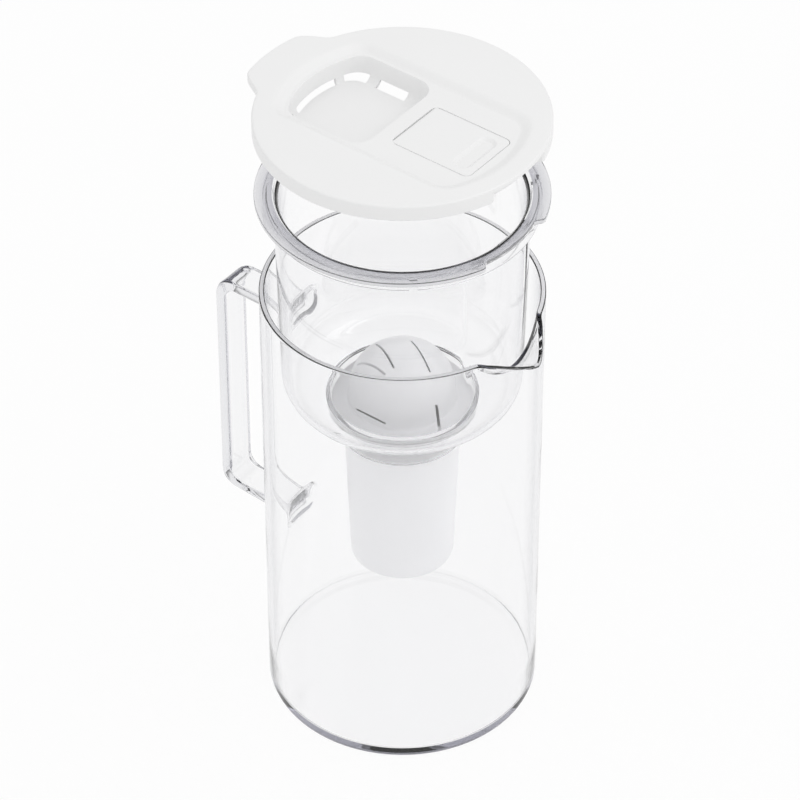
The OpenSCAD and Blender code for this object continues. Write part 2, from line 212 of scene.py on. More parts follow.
# Flap
FLAP_BACK = low_mm("flap_panel").x
FLAP_FRONT = high_mm("flap_panel").x
FLAP_HALF_W = high_mm("flap_panel").y
FLAP_TOP = LID_H - RECESS_DEPTH
FLAP_T = 2.4
FLAP_GAP = 0.2
HINGE_GAP = 0.3
FLAP_CORNER = 3
BARREL_R = 1.8
KNUCKLE_R = 2.0
# Finger recess: distance from the free edge, half length between its ends, half width and depth
FINGER_BACK = 8
FINGER_HALF_L = 8
FINGER_HALF_W = 4.6
FINGER_SLOPE = 1.8
FINGER_DEPTH = 1.3


# Stage and camera


def photograph_camera():
    """A camera that stands where the photograph's camera stood."""
    data = bpy.data.cameras.new("camera")
    data.sensor_width = SENSOR
    data.lens = FOCAL_PX * SENSOR / FRAME_PX
    data.shift_x = (FRAME_PX / 2 - CENTRE_X_PX) / FRAME_PX
    data.clip_end = VIEW_END
    camera = bpy.data.objects.new("camera", data)
    bpy.context.scene.collection.objects.link(camera)
    azimuth = math.radians(CAMERA_AZIMUTH)
    pitch = math.radians(CAMERA_PITCH)
    level = math.cos(pitch)
    ahead = Vector((-math.sin(azimuth) * level, math.cos(azimuth) * level, -math.sin(pitch)))
    camera.location = CAMERA_PLACE
    camera.rotation_euler = ahead.to_track_quat("-Z", "Y").to_euler()
    bpy.context.scene.camera = camera


# Materials


def linear(hex_colour):
    """An sRGB hex colour as linear red, green, blue and alpha."""
    parts = [int(hex_colour[i : i + 2], 16) / 255 for i in (1, 3, 5)]
    return tuple(c / 12.92 if c <= 0.04045 else ((c + 0.055) / 1.055) ** 2.4 for c in parts) + (1.0,)


def add(tree, kind, settings=None, inputs=None):
    """Adds a node with its settings, and sets or links its inputs."""
    node = tree.nodes.new(kind)
    for name, value in (settings or {}).items():
        setattr(node, name, value)
    for name, value in (inputs or {}).items():
        if isinstance(value, bpy.types.NodeSocket):
            tree.links.new(value, node.inputs[name])
        else:
            node.inputs[name].default_value = value
    return node


def new_material(name):
    material = bpy.data.materials.new(name)
    material.use_nodes = True
    material.node_tree.nodes.clear()
    return material, material.node_tree


def per_mm(size):
    """A texture's scale for features of a size in millimetres."""
    return 1000 / size


def clear_plastic(name, depth_colour, density, frosted_shaded_flange=False):
    """Injection-moulded SAN, a glass-clear plastic: polished faces with the faint waves of the flow in the
    mould, a lavender grey that shows only where light runs a long way inside it, as in edges and feet, and a
    painted grey shade on faces seen at a grazing angle."""
    material, tree = new_material(name)
    place = add(tree, "ShaderNodeTexCoord")
    waves = add(tree, "ShaderNodeTexNoise", inputs={"Vector": place.outputs["Object"], "Scale": per_mm(25)})
    bump = add(
        tree, "ShaderNodeBump", inputs={"Height": waves.outputs[0], "Distance": 0.00003, "Strength": 1.0}
    )
    # Painted shade: faces seen at a grazing angle get a grey painted into their colour, standing in for the
    # dark outlines of clear mouldings
    facing = add(tree, "ShaderNodeLayerWeight")
    grazing_painted_shade = add(
        tree,
        "ShaderNodeMapRange",
        inputs={"Value": facing.outputs["Facing"], "From Min": 0.7, "From Max": 1.0, "To Max": 0.8},
    )
    outline = add(
        tree,
        "ShaderNodeMix",
        {"data_type": "RGBA"},
        {0: grazing_painted_shade.outputs[0], 6: linear("#FFFFFF"), 7: linear("#A6A6AE")},
    )
    glass = add(
        tree,
        "ShaderNodeBsdfPrincipled",
        inputs={
            "Base Color": outline.outputs[2],
            "Roughness": 0.0,
            "IOR": 1.49,
            "Transmission Weight": 1.0,
            "Normal": bump.outputs[0],
        },
    )
    # A frosted band on top of the flange, with painted grey shade
    if frosted_shaded_flange:
        frost_and_shade_flange(tree, place, glass, outline.outputs[2])
    # Lamps and daylight pass straight through to what stands inside
    path = add(tree, "ShaderNodeLightPath")
    passing = add(tree, "ShaderNodeBsdfTransparent")
    mix = add(
        tree,
        "ShaderNodeMixShader",
        inputs={0: path.outputs["Is Shadow Ray"], 1: glass.outputs[0], 2: passing.outputs[0]},
    )
    depth = add(
        tree, "ShaderNodeVolumeAbsorption", inputs={"Color": linear(depth_colour), "Density": density}
    )
    add(tree, "ShaderNodeOutputMaterial", inputs={"Surface": mix.outputs[0], "Volume": depth.outputs[0]})
    return material


def frost_and_shade_flange(tree, place, glass, edge_shaded_tone):
    """A band on top of the flange, softly frosted and with a painted grey shade at its inner edge, both fading
    outwards.
    """
    flat = add(
        tree,
        "ShaderNodeVectorMath",
        {"operation": "MULTIPLY"},
        {0: place.outputs["Object"], 1: (1, 1, 0)},
    )
    radius = add(tree, "ShaderNodeVectorMath", {"operation": "LENGTH"}, {0: flat.outputs[0]})
    height = add(tree, "ShaderNodeSeparateXYZ", inputs={0: place.outputs["Object"]})
    fade = add(
        tree,
        "ShaderNodeMapRange",
        inputs={"Value": radius.outputs["Value"], "From Min": FROST_SHADE_IN * MM, "From Max": FROST_SHADE_OUT * MM,
                "To Min": 1.0, "To Max": 0.25},
    )
    outside = add(
        tree,
        "ShaderNodeMath",
        {"operation": "GREATER_THAN"},
        {0: radius.outputs["Value"], 1: FROST_SHADE_IN * MM},
    )
    above = add(
        tree,
        "ShaderNodeMath",
        {"operation": "GREATER_THAN"},
        {0: height.outputs["Z"], 1: (FUNNEL_Z + 0.6 * FLANGE_T) * MM},
    )
    there = add(
        tree, "ShaderNodeMath", {"operation": "MULTIPLY"}, {0: outside.outputs[0], 1: above.outputs[0]}
    )
    frost_and_shade_mask = add(
        tree, "ShaderNodeMath", {"operation": "MULTIPLY"}, {0: there.outputs[0], 1: fade.outputs[0]}
    )
    # Painted shade: a grey mixed into the colour over the band, darkest at its inner edge
    painted_grey_shade = add(
        tree,
        "ShaderNodeMix",
        {"data_type": "RGBA"},
        {0: frost_and_shade_mask.outputs[0], 6: edge_shaded_tone, 7: linear("#9C9CA6")},
    )
    rough = add(tree, "ShaderNodeMath", {"operation": "MULTIPLY"}, {0: frost_and_shade_mask.outputs[0], 1: 0.3})
    tree.links.new(painted_grey_shade.outputs[2], glass.inputs["Base Color"])
    tree.links.new(rough.outputs[0], glass.inputs["Roughness"])


def ground_edge(name):
    """The same plastic where its edge was ground: a fine matt face that looks pale grey, not clear."""
    material, tree = new_material(name)
    place = add(tree, "ShaderNodeTexCoord")
    fine = add(
        tree, "ShaderNodeTexNoise", inputs={"Vector": place.outputs["Object"], "Scale": per_mm(0.8)}
    )
    tone = add(
        tree,
        "ShaderNodeMix",
        {"data_type": "RGBA"},
        {0: fine.outputs[0], 6: linear("#F2F2F4"), 7: linear("#EAEAED")},
    )
    bump = add(
        tree, "ShaderNodeBump", inputs={"Height": fine.outputs[0], "Distance": 0.000005, "Strength": 1.0}
    )
    bsdf = add(
        tree,
        "ShaderNodeBsdfPrincipled",
        inputs={
            "Base Color": tone.outputs[2],
            "Roughness": 0.3,
            "IOR": 1.49,
            "Transmission Weight": 0.1,
            "Normal": bump.outputs[0],
        },
    )
    add(tree, "ShaderNodeOutputMaterial", inputs={"Surface": bsdf.outputs[0]})
    return material


def moulded_plastic(name, colours, roughness, grain, relief, bsdf_inputs=None):
    """An opaque moulded plastic: two close tones that drift over centimetres, and the mould's fine grain."""
    material, tree = new_material(name)
    place = add(tree, "ShaderNodeTexCoord")
    drift = add(tree, "ShaderNodeTexNoise", inputs={"Vector": place.outputs["Object"], "Scale": per_mm(40)})
    tone = add(
        tree,
        "ShaderNodeMix",
        {"data_type": "RGBA"},
        {0: drift.outputs[0], 6: linear(colours[0]), 7: linear(colours[1])},
    )
    fine = add(
        tree,
        "ShaderNodeTexNoise",
        inputs={"Vector": place.outputs["Object"], "Scale": per_mm(grain), "Detail": 3.0},
    )
    sheen = add(
        tree,
        "ShaderNodeMapRange",
        inputs={"Value": fine.outputs[0], "To Min": roughness - 0.06, "To Max": roughness + 0.06},
    )
    bump = add(
        tree, "ShaderNodeBump", inputs={"Height": fine.outputs[0], "Distance": relief * MM, "Strength": 1.0}
    )
    inputs = {
        "Base Color": tone.outputs[2],
        "Roughness": sheen.outputs[0],
        "Normal": bump.outputs[0],
    }
    bsdf = add(tree, "ShaderNodeBsdfPrincipled", inputs=inputs | (bsdf_inputs or {}))
    add(tree, "ShaderNodeOutputMaterial", inputs={"Surface": bsdf.outputs[0]})
    return material


def granules(name, colours, size, roughness, relief):
    """A packed bed of grains: each grain has its own tone, and the grains stand out as small bumps."""
    material, tree = new_material(name)
    place = add(tree, "ShaderNodeTexCoord")
    cells = add(
        tree, "ShaderNodeTexVoronoi", inputs={"Vector": place.outputs["Object"], "Scale": per_mm(size)}
    )
    shade = add(tree, "ShaderNodeSeparateColor", inputs={0: cells.outputs["Color"]})
    tone = add(
        tree,
        "ShaderNodeMix",
        {"data_type": "RGBA"},
        {0: shade.outputs[0], 6: linear(colours[0]), 7: linear(colours[1])},
    )
    bump = add(
        tree,
        "ShaderNodeBump",
        {"invert": True},
        {"Height": cells.outputs["Distance"], "Distance": relief * MM, "Strength": 1.0},
    )
    bsdf = add(
        tree,
        "ShaderNodeBsdfPrincipled",
        inputs={"Base Color": tone.outputs[2], "Roughness": roughness, "Normal": bump.outputs[0]},
    )
    add(tree, "ShaderNodeOutputMaterial", inputs={"Surface": bsdf.outputs[0]})
    return material


# Meshes


def arc(centre, radius, start, end, count=8):
    """Points along an arc between two angles in degrees."""
    points = []
    for i in range(count + 1):
        angle = math.radians(start + (end - start) * i / count)
        points.append((centre[0] + radius * math.cos(angle), centre[1] + radius * math.sin(angle)))
    return points


def stretch(start, end, count):
    """Points along a straight line, without its ends."""
    return [
        (start[0] + (end[0] - start[0]) * i / count, start[1] + (end[1] - start[1]) * i / count)
        for i in range(1, count)
    ]


def turned(profile, steps, closed=False):
    """A profile of radius and height turned once round the Z axis."""
    bm = bmesh.new()
    verts = [bm.verts.new((r, 0, z)) for r, z in profile]
    ends = zip(verts, verts[1:] + verts[:1]) if closed else zip(verts, verts[1:])
    edges = [bm.edges.new(pair) for pair in ends]
    bmesh.ops.spin(
        bm, geom=verts + edges, cent=(0, 0, 0), axis=(0, 0, 1), angle=WHOLE_TURN, steps=steps, use_merge=True
    )
    bmesh.ops.remove_doubles(bm, verts=bm.verts, dist=0.0005)
    bmesh.ops.recalc_face_normals(bm, faces=bm.faces)
    return bm


def mark_edge(bm, chosen):
    """Gives the chosen faces the piece's second material."""
    bm.normal_update()
    for face in bm.faces:
        if chosen(face):
            face.material_index = 1


def slice_faces(bm, chosen, point, normal):
    """Cuts the faces whose middle is chosen, and no others, along a plane."""
    faces = [face for face in bm.faces if chosen(face.calc_center_median())]
    edges = {edge for face in faces for edge in face.edges}
    verts = {vert for face in faces for vert in face.verts}
    geom = list(verts) + list(edges) + faces
    bmesh.ops.bisect_plane(bm, geom=geom, plane_co=point, plane_no=normal, dist=0.001)


def ring(bm, points):
    """A closed ring of edges through points."""
    verts = [bm.verts.new(point) for point in points]
    return [bm.edges.new(pair) for pair in zip(verts, verts[1:] + verts[:1])]


def bridged(bm, rings):
    """A skin that runs from each ring of edges to the next."""
    for near, far in zip(rings, rings[1:]):
        bmesh.ops.bridge_loops(bm, edges=near + far)


def filled(bm, *rings):
    """A flat face between rings of edges, with the inner ones as holes."""
    bmesh.ops.triangle_fill(bm, edges=[edge for edges in rings for edge in edges], use_beauty=True)


def at_height(points, z):
    return [(x, y, z) for x, y in points]


def round_end(radius, half_w, corner, steps=10):
    """Half an outline, on the handle's side: a round end between two straight sides, with rounded corners."""
    centre_y = half_w - corner
    centre_x = math.sqrt((radius - corner) ** 2 - centre_y**2)
    tilt = math.degrees(math.atan2(centre_y, centre_x))
    points = arc((-centre_x, centre_y), corner, 90, 180 - tilt, steps)
    points += arc((0, 0), radius, 180 - tilt, 180 + tilt, 2 * steps)[1:-1]
    return points + arc((-centre_x, -centre_y), corner, 180 + tilt, 270, steps)


def round_box(low_x, high_x, half_w, corner, steps=6):
    """A rectangle's outline with rounded corners."""
    points = []
    for x, y, start in (
        (high_x - corner, half_w - corner, 0),
        (low_x + corner, half_w - corner, 90),
        (low_x + corner, corner - half_w, 180),
        (high_x - corner, corner - half_w, 270),
    ):
        points += arc((x, y), corner, start, start + 90, steps)
    return points


def joined(parts):
    """One bmesh out of several, each of them closed by itself."""
    whole = bmesh.new()
    for part in parts:
        mesh = bpy.data.meshes.new("part")
        part.to_mesh(mesh)
        part.free()
        whole.from_mesh(mesh)
        bpy.data.meshes.remove(mesh)
    return whole


def finished(bm, name, materials, body, replaced, sharp=35):
    """Turns a bmesh in millimetres into a piece that rides on a body and stands for CAD nodes."""
    bmesh.ops.scale(bm, vec=(MM, MM, MM), verts=bm.verts)
    mesh = bpy.data.meshes.new(name)
    bm.to_mesh(mesh)
    bm.free()
    mesh.shade_smooth()
    mesh.set_sharp_from_angle(angle=math.radians(sharp))
    for material in materials:
        mesh.materials.append(material)
    piece = bpy.data.objects.new(name, mesh)
    bpy.context.scene.collection.objects.link(piece)
    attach(piece, body)
    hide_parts(*replaced)
    return piece


def smoothstep(low, high, value):
    t = min(1, max(0, (value - low) / (high - low)))
    return t * t * (3 - 2 * t)


# Jug


def spout_pull(angle):
    """How far the spout has left the round rim at an angle from its middle, from 0 to 1."""
    share = abs(angle) / SPOUT_HALF_ANGLE
    if share >= SPOUT_END:
        return 0
    rounded = math.sqrt(share * share + 0.012) - TIP_ROUND
    straight = max(0, 1 - rounded) ** 1.4
    return straight * smoothstep(SPOUT_END, 0.8, share)


def shape_spout(bm):
    """Draws the rim out into the spout above a crease in the wall."""
    crease = JUG_H - CREASE_DEPTH
    foot = JUG_H - FLARE_DEPTH
    top = JUG_H - RIM_ROUND
    for vert in bm.verts:
        x, y, z = vert.co
        radius = math.hypot(x, y)
        angle = math.degrees(math.atan2(y, x))
        share = abs(angle) / SPOUT_HALF_ANGLE
        if z < foot or share > CREASE_END or radius < JUG_R - 2 * WALL:
            continue
        rise = CREASE_RISE * CREASE_DEPTH * min(1, share * share) * smoothstep(CREASE_END, 1.0, share)
        lifted_crease = crease + rise
        out = 0
        if z <= crease:
            vert.co.z = foot + (z - foot) * (lifted_crease - foot) / (crease - foot)
        elif z <= top:
            out = (z - crease) / (top - crease)
            vert.co.z = lifted_crease + out * (top - lifted_crease)
        else:
            out = 1
        pull = out * spout_pull(angle)
        grown = 1 + pull * (SPOUT_REACH - JUG_R) / radius
        vert.co.x = x * grown
        vert.co.y = y * grown
        vert.co.z -= SPOUT_DROP * pull


def make_jug(materials):
    inner = JUG_R - WALL
    lip = RIM_ROUND
    crease = JUG_H - CREASE_DEPTH
    foot = JUG_H - FLARE_DEPTH
    top = JUG_H - lip
    profile = [(0, 0), (JUG_R / 2, 0)]
    profile += arc((JUG_R - FOOT_ROUND, FOOT_ROUND), FOOT_ROUND, -90, 0)
    profile += stretch((JUG_R, FOOT_ROUND), (JUG_R, foot), 12) + [(JUG_R, foot)]
    profile += stretch((JUG_R, foot), (JUG_R, crease), 8) + [(JUG_R, crease)]
    profile += stretch((JUG_R, crease), (JUG_R, top), 10)
    profile += arc((JUG_R - lip, top), lip, 0, 90, 6) + arc((inner + lip, top), lip, 90, 180, 6)
    profile += stretch((inner, top), (inner, crease), 10) + [(inner, crease)]
    profile += stretch((inner, crease), (inner, foot), 8) + [(inner, foot)]
    profile += stretch((inner, foot), (inner, JUG_FLOOR + FLOOR_BEND), 12)
    profile += arc((inner - FLOOR_BEND, JUG_FLOOR + FLOOR_BEND), FLOOR_BEND, 0, -90)
    profile += [(inner / 2, JUG_FLOOR), (0, JUG_FLOOR)]
    bm = turned(profile, 360)
    shape_spout(bm)
    low_rim = JUG_H - SPOUT_DROP - 1
    mark_edge(bm, lambda face: face.normal.z > 0.99 and face.calc_center_median().z > low_rim)
    return finished(bm, "clear_jug_wall", materials, "jug", ["jug_body"])


# Handle


def strap_section(inner, outer, half_w, corner, wall=0.0):
    """A rounded rectangle between two points of the strap's side outline, its end laid on the jug's wall."""
    half_t = math.dist(inner, outer) / 2
    ahead = ((outer[0] - inner[0]) / (2 * half_t), (outer[1] - inner[1]) / (2 * half_t))
    middle = ((outer[0] + inner[0]) / 2, (outer[1] + inner[1]) / 2)
    outline = []
    for u, v, start in ((1, 1, 0), (-1, 1, 90), (-1, -1, 180), (1, -1, 270)):
        bend = arc((u * (half_t - corner), v * (half_w - corner)), corner, start, start + 90, 5)
        outline += bend
        far = (bend[-1][0], -bend[-1][1])
        if start in (90, 270):
            outline += stretch(bend[-1], far, 9)
    points = []
    for u, v in outline:
        x = middle[0] + u * ahead[0]
        sunk = (JUG_R + SEAM - math.sqrt((JUG_R + SEAM) ** 2 - v * v)) * wall
        points.append((x + sunk, v, middle[1] + u * ahead[1]))
    return points


def foot_sections(inner_z, outer_z, inner_flare, outer_flare, side_flare, corner):
    """Sections of an arm that flares out to its pad, from the jug's wall outwards."""
    sections = []
    for angle in range(90, -1, -9):
        near = 1 - math.cos(math.radians(angle))
        x = -JUG_R - SEAM - FOOT_DEPTH * (1 - math.sin(math.radians(angle)))
        inner = (x, inner_z + inner_flare * near)
        outer = (x, outer_z + outer_flare * near)
        section_corner = STRAP_ROUND + (corner - STRAP_ROUND) * near
        sections.append(strap_section(inner, outer, STRAP_HALF_W + side_flare * near, section_corner, near))
    return sections


def pad_pocket(inner_z, outer_z, side_flare, corner):
    """Rings of the shallow pocket in a pad's face, from its bottom out to its rim."""
    up = math.copysign(1, outer_z - inner_z)
    rings = []
    for inset, deep in POCKET:
        x = -JUG_R - SEAM - deep
        inner = (x, inner_z + inset * up)
        outer = (x, outer_z - inset * up)
        rings.append(strap_section(inner, outer, STRAP_HALF_W + side_flare - inset, corner - inset, 1))
    return rings


def pad(inner_z, outer_z, flares):
    """A foot of the handle, from the bottom of its pocket out to the plain strap."""
    inner_flare, outer_flare, side_flare, corner = flares
    pocket = pad_pocket(inner_z + inner_flare, outer_z + outer_flare, side_flare, corner)
    return pocket + foot_sections(inner_z, outer_z, inner_flare, outer_flare, side_flare, corner)


def make_handle(material):
    high_centre = (GRIP_X + HIGH_BEND, ARM_TOP - HIGH_BEND)
    low_outer = (GRIP_X + LOW_BEND, ARM_LOW + LOW_BEND)
    low_inner = (GRIP_X + STRAP_T + LOW_INNER_BEND, ARM_LOW + ARM_LOW_T + LOW_INNER_BEND)
    outers = arc(high_centre, HIGH_BEND, 90, 180, 14) + arc(low_outer, LOW_BEND, 180, 270, 14)
    inners = arc(high_centre, HIGH_BEND - STRAP_T, 90, 180, 14) + arc(low_inner, LOW_INNER_BEND, 180, 270, 14)
    rings = pad(ARM_TOP - STRAP_T, ARM_TOP, HIGH_PAD)
    rings += [strap_section(inner, outer, STRAP_HALF_W, STRAP_ROUND) for inner, outer in zip(inners, outers)]
    rings += reversed(pad(ARM_LOW + ARM_LOW_T + ARM_LOW_SWELL / 2, ARM_LOW - ARM_LOW_SWELL, LOW_PAD))
    bm = bmesh.new()
    loops = [ring(bm, points) for points in rings]
    bridged(bm, loops)
    for loop in (loops[0], loops[-1]):
        close_pad(bm, loop)
    bmesh.ops.recalc_face_normals(bm, faces=bm.faces)
    return finished(bm, "clear_strap_handle", [material], "jug", ["handle"])


def close_pad(bm, loop):
    """Closes the bottom of a pad's pocket with strips that run up and down the jug's wall."""
    bmesh.ops.contextual_create(bm, geom=loop)
    verts = {vert for edge in loop for vert in edge.verts}
    low = sorted((v for v in verts if v.co.z < sum(w.co.z for w in verts) / len(verts)), key=lambda v: v.co.y)
    high = sorted(verts - set(low), key=lambda v: v.co.y)
    for pair in list(zip(low, high))[1:-1]:
        bmesh.ops.connect_verts(bm, verts=pair)


# Funnel


def shape_funnel(bm):
    """Sets back the flange at the spout and flattens the wall there."""
    for vert in bm.verts:
        x, y, z = vert.co
        radius = math.hypot(x, y)
        angle = abs(math.degrees(math.atan2(y, x)))
        height = z - FUNNEL_Z
        if radius > NOTCH_R and height > -0.5:
            trim = smoothstep(NOTCH_HALF_ANGLE + 1.5, NOTCH_HALF_ANGLE - 1.5, angle)
            set_back = radius + (NOTCH_R - 0.2 * (FLANGE_R - radius) - radius) * trim
            vert.co.x *= set_back / radius
            vert.co.y *= set_back / radius
        elif FLAT_LOW < height < 0 and radius < 58 and x > 0:
            inner = radius < 55.6
            limit = FLAT_X - FUNNEL_WALL if inner else FLAT_X
            depth = smoothstep(FLAT_LOW, FLAT_FULL, height) * smoothstep(-0.5, -7, height)
            if x > limit:
                vert.co.x = x + (limit - x) * depth


def cut_skirt_slots(bm):
    """Opens the two narrow slots in the skirt, up to the flange."""
    for angle in SKIRT_SLOT_ANGLES:
        turn = math.radians(angle)
        ahead = Vector((math.cos(turn), math.sin(turn), 0))
        aside = Vector((-ahead.y, ahead.x, 0))
        half = SKIRT_SLOT_W / 2
        for place in (-half - 0.05, -half, half, half + 0.05):
            slice_faces(bm, lambda point: on_skirt(point, ahead), aside * place, aside)
        for vert in bm.verts:
            if abs(vert.co.dot(aside)) < half + 0.01 and on_skirt(vert.co, ahead):
                vert.co.z = FUNNEL_Z - 0.5


def on_skirt(point, ahead):
    """True for the lower part of the skirt, on the side that ahead points to."""
    return point.dot(ahead) > 0 and math.hypot(point.x, point.y) > 60 and -8 < point.z - FUNNEL_Z < -0.6


def on_flange_edge(point):
    return point.z > FUNNEL_Z and math.hypot(point.x, point.y) > SKIRT_R


def make_funnel(materials):
    top = FUNNEL_Z
    knee = top - KNEE_DEPTH
    low = top - FUNNEL_DEPTH
    soft = FUNNEL_EDGE
    corner = (WALL_LOW_R - BOWL_BEND, low + BOWL_BEND)
    profile = arc((MOUTH_R, top + FLANGE_T - MOUTH_ROUND), MOUTH_ROUND, 180, 90, 10)
    profile += arc((FLANGE_R - soft, top + FLANGE_T - soft), soft, 90, 0, 4)
    profile += arc((FLANGE_R - soft, top + soft), soft, 0, -90, 4)
    profile += [(SKIRT_R, top), (SKIRT_R, top - SKIRT_DROP)]
    profile += arc((SKIRT_R - soft, top - SKIRT_DROP), soft, 0, -90, 3)
    profile += arc((SKIRT_IN + soft, top - SKIRT_DROP), soft, -90, -180, 3)
    profile += [(SKIRT_IN, top - 0.5), (SKIRT_IN - 0.5, top), (WALL_TOP_R + 0.5, top), (WALL_TOP_R, top - 0.5)]
    profile += stretch((WALL_TOP_R, top - 0.5), (WALL_KNEE_R, knee), 24)
    profile += stretch((WALL_KNEE_R, knee), (WALL_LOW_R, corner[1]), 24)
    profile += arc(corner, BOWL_BEND, 0, -90, 16)
    profile += [(CUP_R + 0.6, low)]
    profile += arc((CUP_R - CUP_ROUND, low - CUP_DEPTH + CUP_ROUND), CUP_ROUND, 0, -90)
    profile += [(THROAT_R + 0.5, low - CUP_DEPTH), (THROAT_R, low - CUP_DEPTH - 0.5)]
    profile += [(THROAT_R, low - THROAT_DEPTH), (THROAT_IN, low - THROAT_DEPTH)]
    profile += [(THROAT_IN, low - CUP_FLOOR - soft), (THROAT_IN + soft, low - CUP_FLOOR)]
    profile += [(CUP_IN - soft, low - CUP_FLOOR), (CUP_IN, low - CUP_FLOOR + soft)]
    profile += [(CUP_IN, low + FUNNEL_WALL - soft), (CUP_IN + soft, low + FUNNEL_WALL)]
    profile += arc(corner, BOWL_BEND - FUNNEL_WALL, -90, 0, 16)
    profile += stretch(profile[-1], (WALL_KNEE_R - 2, knee), 24)[1:]
    profile += stretch((WALL_KNEE_R - 2, knee), (WALL_INNER_TOP_R, top - 2), 24)
    bm = turned(profile, 288, closed=True)
    cut_skirt_slots(bm)
    shape_funnel(bm)
    mark_edge(bm, lambda face: abs(face.normal.z) < 0.1 and on_flange_edge(face.calc_center_median()))
    return finished(bm, "clear_funnel_wall", materials, "funnel", ["funnel_shell"])


# Filter


def cut_slot(bm, axes, low, high):
    """Cuts a box-shaped slot through a shell: takes out the faces in the box and closes the slot's walls."""

    def inside(point, spare):
        places = [point.dot(axis) for axis in axes]
        return all(near - spare < place < far + spare for near, place, far in zip(low, places, high))

    for axis, near, far in zip(axes, low, high):
        for place in (near, far):
            slice_faces(bm, lambda point: inside(point, 2), axis * place, axis)
    gone = [face for face in bm.faces if inside(face.calc_center_median(), 0)]
    bmesh.ops.delete(bm, geom=gone, context="FACES")
    bmesh.ops.bridge_loops(bm, edges=[edge for edge in bm.edges if edge.is_boundary])


def cut_dome(bm):
    """Upright slits in the dome's cap, and the slits and slots that sloping planes cut at its foot."""
    up = Vector((0, 0, 1))
    for turn, away, start, end in CAP_SLITS:
        across = Vector((math.cos(math.radians(turn)), math.sin(math.radians(turn)), 0))
        low = (away - SLIT_W / 2, start, CARTRIDGE_TOP + 2 * DOME_RISE)
        high = (away + SLIT_W / 2, end, CARTRIDGE_TOP + 40)
        cut_slot(bm, (across, up.cross(across), up), low, high)
    for turn in FOOT_CUT_TURNS:
        ahead = Vector((math.cos(math.radians(turn)), math.sin(math.radians(turn)), 0))
        aside = up.cross(ahead)
        dipped = Matrix.Rotation(math.radians(-FOOT_CUT_DIP), 3, aside) @ ahead
        for (out, right, rise), slant, (start, end), width in FOOT_CUTS:
            along = Matrix.Rotation(math.radians(slant), 3, dipped) @ aside
            across = dipped.cross(along)
            middle = ahead * out + aside * right + up * (CARTRIDGE_TOP + rise)
            depth, place, level = middle.dot(dipped), middle.dot(along), middle.dot(across)
            low = (depth - 10, place + start, level - width / 2)
            high = (depth + 8, place + end, level + width / 2)
            cut_slot(bm, (dipped, along, across), low, high)


def make_dome(material):
    """The dome with a cone at its foot and a flat ring that lies on the cartridge's flange."""
    base = CARTRIDGE_TOP
    centre = (0, base + DOME_RISE)
    profile = arc(centre, DOME_R, 90, 3, 30)
    profile += [(DOME_R + 0.1, base + 2.4), (DOME_R + 0.8, base + 1.8)]
    profile += [(CARTRIDGE_FLANGE_R - 0.3, base + 0.8), (CARTRIDGE_FLANGE_R, base + 0.5)]
    profile += [(CARTRIDGE_FLANGE_R, base)]
    profile += [(CARTRIDGE_TOP_R - CARTRIDGE_WALL, base), (DOME_R - DOME_WALL, base + 1.5)]
    profile += arc(centre, DOME_R - DOME_WALL, 0, 90, 30)
    bm = turned(profile, 180)
    cut_dome(bm)
    bmesh.ops.recalc_face_normals(bm, faces=bm.faces)
    name = "slitted_filter_dome"
    return finished(bm, name, [material], "filter", ["filter_dome"], sharp=30)


def make_housing(material):
    """The cartridge's tapered body with its flange, a rounded foot and an open lower end."""
    foot = CARTRIDGE_FOOT
    flange_low = CARTRIDGE_TOP - CARTRIDGE_FLANGE_T
    bore_low = CARTRIDGE_LOW_R - CARTRIDGE_WALL
    profile = [(bore_low - 2.5, foot)]
    profile += arc((CARTRIDGE_LOW_R - 2, foot + 2), 2, -90, 0, 6)
    profile += stretch(profile[-1], (CARTRIDGE_TOP_R, flange_low - 0.6), 6)
    profile += arc((CARTRIDGE_TOP_R + 0.6, flange_low - 0.6), 0.6, 180, 90, 3)
    profile += arc((CARTRIDGE_FLANGE_R - 0.5, flange_low + 0.5), 0.5, -90, 0, 3)
    profile += arc((CARTRIDGE_FLANGE_R - 0.5, CARTRIDGE_TOP - 0.5), 0.5, 0, 90, 3)
    profile += [(CARTRIDGE_TOP_R - CARTRIDGE_WALL, CARTRIDGE_TOP), (bore_low, foot + 2.5)]
    profile += [(bore_low - 2.5, foot + 2.5)]
    bm = turned(profile, 160, closed=True)
    return finished(bm, "cartridge_body", [material], "filter", ["filter_housing"])


# Lid


def blended(steps, depth=1.0):
    """Shares of a soft slope from 0 to 1 with the height reached at each, rounded at both ends."""
    pairs = []
    for i in range(steps + 1):
        share = i / steps
        pairs.append((share, depth * (0.55 * share + 0.45 * smoothstep(0, 1, share))))
    return pairs


def recess_ring(bm, share, z, spare=0.0):
    """The recess's outline on its slope, from its floor at 0 to the lid's top at 1."""
    sizes = [foot + slope * share + spare for foot, slope in zip(RECESS_FOOT, RECESS_SLOPE)]
    radius, half_w, handle_corner, spout_corner = sizes
    handle_end = round_end(radius, half_w, handle_corner)
    spout_end = [(-x, -y) for x, y in round_end(radius, half_w, spout_corner)]
    points = handle_end + stretch(handle_end[-1], spout_end[0], 8)
    points += spout_end + stretch(spout_end[-1], handle_end[0], 8)
    return ring(bm, at_height(points, LID_Z + z))


def basin_ring(bm, share, z, spare=0.0):
    """The basin's outline on its wall, from its top at 0 to its floor at 1."""
    sizes = [top - draft * share + spare for top, draft in zip(BASIN_TOP, BASIN_DRAFT)]
    radius, half_w, front = sizes
    corner = BASIN_CORNER + spare
    handle_end = round_end(radius, half_w, corner)
    front_end = arc((front - corner, corner - half_w), corner, 270, 360, 8)
    front_end += arc((front - corner, half_w - corner), corner, 0, 90, 8)
    points = handle_end + stretch(handle_end[-1], front_end[0], 10)
    points += front_end + stretch(front_end[-1], handle_end[0], 10)
    return ring(bm, at_height(points, LID_Z + z))


